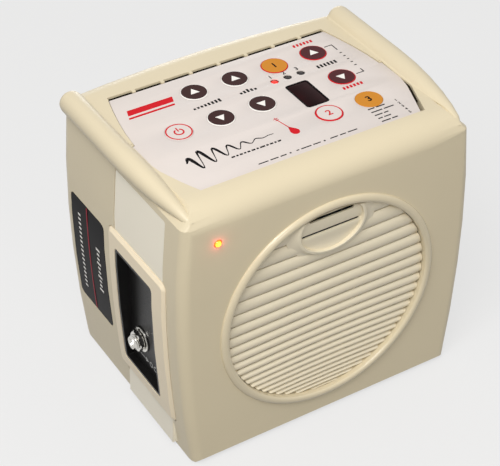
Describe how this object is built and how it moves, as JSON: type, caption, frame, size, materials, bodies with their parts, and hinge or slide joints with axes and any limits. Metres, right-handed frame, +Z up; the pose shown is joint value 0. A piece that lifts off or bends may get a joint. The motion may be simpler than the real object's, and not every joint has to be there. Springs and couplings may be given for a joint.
{
  "type": "electronic tanpura",
  "caption": "Small mains drone box: louvred round speaker in front, spring-back keys and a digit display on top between two rails, output socket in a side pocket.",
  "frame": {"origin": "middle of the box on the table", "axes": "+X the right side, +Y the back, +Z up; the grille faces -Y and the socket pocket -X"},
  "size_m": [0.1323, 0.1016, 0.125],
  "materials": {
    "case_front": "moulded ABS, fine satin grain",
    "case_rear": "moulded ABS, fine satin grain",
    "light_panel": "moulded ABS, satin",
    "bezel_tan": "moulded ABS, satin",
    "pocket_black": "moulded ABS, fine matt grain",
    "label_black": "printed polyester label, half gloss",
    "foot_rubber": "matt rubber",
    "screw_steel": "zinc plated steel",
    "film": "printed polycarbonate film, half gloss",
    "key_plate": "moulded ABS",
    "key_brown": "smooth plastic",
    "key_maroon": "smooth plastic",
    "key_orange": "smooth plastic",
    "key_pale": "smooth plastic",
    "circuit_board": "glass fibre board with solder resist",
    "display": "dark red cast resin",
    "window": "clear dark red acrylic",
    "led_lit": "red lamp, lit",
    "led_dark": "red lamp, not lit",
    "grille": "moulded ABS, satin",
    "basket": "pressed and plated steel",
    "surround": "matt rubber",
    "spider": "resin-stiffened cloth",
    "terminal_board": "hard paper",
    "cone_paper": "pressed black paper",
    "coil_copper": "enamelled copper wire on a former",
    "pole_steel": "plated steel",
    "ferrite": "sintered ferrite",
    "socket_nickel": "nickel plated",
    "inlet_black": "moulded nylon",
    "transformer": "laminated steel core with taped windings",
    "capacitor": "sleeved aluminium can",
    "heat_sink": "extruded aluminium",
    "ribbon_grey": "PVC",
    "lead_red": "PVC",
    "lead_black": "PVC",
    "lead_brown": "PVC"
  },
  "bodies": {
    "root": {"front_shell": "case_front", "rear_shell": "case_rear", "side_panel": "light_panel", "jack_bezel": "bezel_tan", "jack_tray": "pocket_black", "side_label": "label_black", "rubber_foot_1": "foot_rubber", "rubber_foot_2": "foot_rubber", "rubber_foot_3": "foot_rubber", "rubber_foot_4": "foot_rubber", "case_screw_1": "screw_steel", "case_screw_2": "screw_steel", "case_screw_3": "screw_steel", "case_screw_4": "screw_steel", "keypad_overlay": "film", "keypad_plate": "key_plate", "keypad_board": "circuit_board", "digit_display": "display", "display_window": "window", "note_led_1": "led_lit", "note_led_2": "led_dark", "note_led_3": "led_dark", "power_led": "led_lit", "speaker_grille": "grille", "speaker_basket": "basket", "speaker_surround": "surround", "speaker_spider": "spider", "speaker_terminals": "terminal_board", "speaker_screw_1": "screw_steel", "speaker_screw_2": "screw_steel", "speaker_screw_3": "screw_steel", "speaker_screw_4": "screw_steel", "front_pole_plate": "pole_steel", "speaker_magnet": "ferrite", "back_pole_plate": "pole_steel", "line_out_jack": "socket_nickel", "jack_nut": "socket_nickel", "jack_washer": "socket_nickel", "ac_inlet": "inlet_black", "power_board": "circuit_board", "transformer": "transformer", "filter_capacitor": "capacitor", "heat_sink": "heat_sink", "ribbon_cable": "ribbon_grey", "speaker_leads": "lead_red", "jack_leads": "lead_black", "mains_leads": "lead_brown"},
    "key_power": {"key_power": "key_pale"},
    "key_volume_up": {"key_volume_up": "key_brown"},
    "key_volume_down": {"key_volume_down": "key_brown"},
    "key_tone_up": {"key_tone_up": "key_brown"},
    "key_tone_down": {"key_tone_down": "key_brown"},
    "key_note": {"key_note": "key_orange"},
    "key_pitch_up": {"key_pitch_up": "key_maroon"},
    "key_pitch_down": {"key_pitch_down": "key_maroon"},
    "key_memory": {"key_memory": "key_pale"},
    "key_mode": {"key_mode": "key_orange"},
    "cone": {"speaker_cone": "cone_paper", "dust_cap": "cone_paper", "voice_coil": "coil_copper"}
  },
  "joints": [
    {"name": "key_power_press", "type": "slide", "parent": "root", "child": "key_power", "axis": [0, 0, -1], "range_m": [0, 0.0005], "stiffness_N_per_m": 400},
    {"name": "key_volume_up_press", "type": "slide", "parent": "root", "child": "key_volume_up", "axis": [0, 0, -1], "range_m": [0, 0.0005], "stiffness_N_per_m": 400},
    {"name": "key_volume_down_press", "type": "slide", "parent": "root", "child": "key_volume_down", "axis": [0, 0, -1], "range_m": [0, 0.0005], "stiffness_N_per_m": 400},
    {"name": "key_tone_up_press", "type": "slide", "parent": "root", "child": "key_tone_up", "axis": [0, 0, -1], "range_m": [0, 0.0005], "stiffness_N_per_m": 400},
    {"name": "key_tone_down_press", "type": "slide", "parent": "root", "child": "key_tone_down", "axis": [0, 0, -1], "range_m": [0, 0.0005], "stiffness_N_per_m": 400},
    {"name": "key_note_press", "type": "slide", "parent": "root", "child": "key_note", "axis": [0, 0, -1], "range_m": [0, 0.0005], "stiffness_N_per_m": 400},
    {"name": "key_pitch_up_press", "type": "slide", "parent": "root", "child": "key_pitch_up", "axis": [0, 0, -1], "range_m": [0, 0.0005], "stiffness_N_per_m": 400},
    {"name": "key_pitch_down_press", "type": "slide", "parent": "root", "child": "key_pitch_down", "axis": [0, 0, -1], "range_m": [0, 0.0005], "stiffness_N_per_m": 400},
    {"name": "key_memory_press", "type": "slide", "parent": "root", "child": "key_memory", "axis": [0, 0, -1], "range_m": [0, 0.0005], "stiffness_N_per_m": 400},
    {"name": "key_mode_press", "type": "slide", "parent": "root", "child": "key_mode", "axis": [0, 0, -1], "range_m": [0, 0.0005], "stiffness_N_per_m": 400},
    {"name": "cone_stroke", "type": "slide", "parent": "root", "child": "cone", "axis": [0, -1, 0], "range_m": [-0.001, 0.001], "stiffness_N_per_m": 1200}
  ]
}
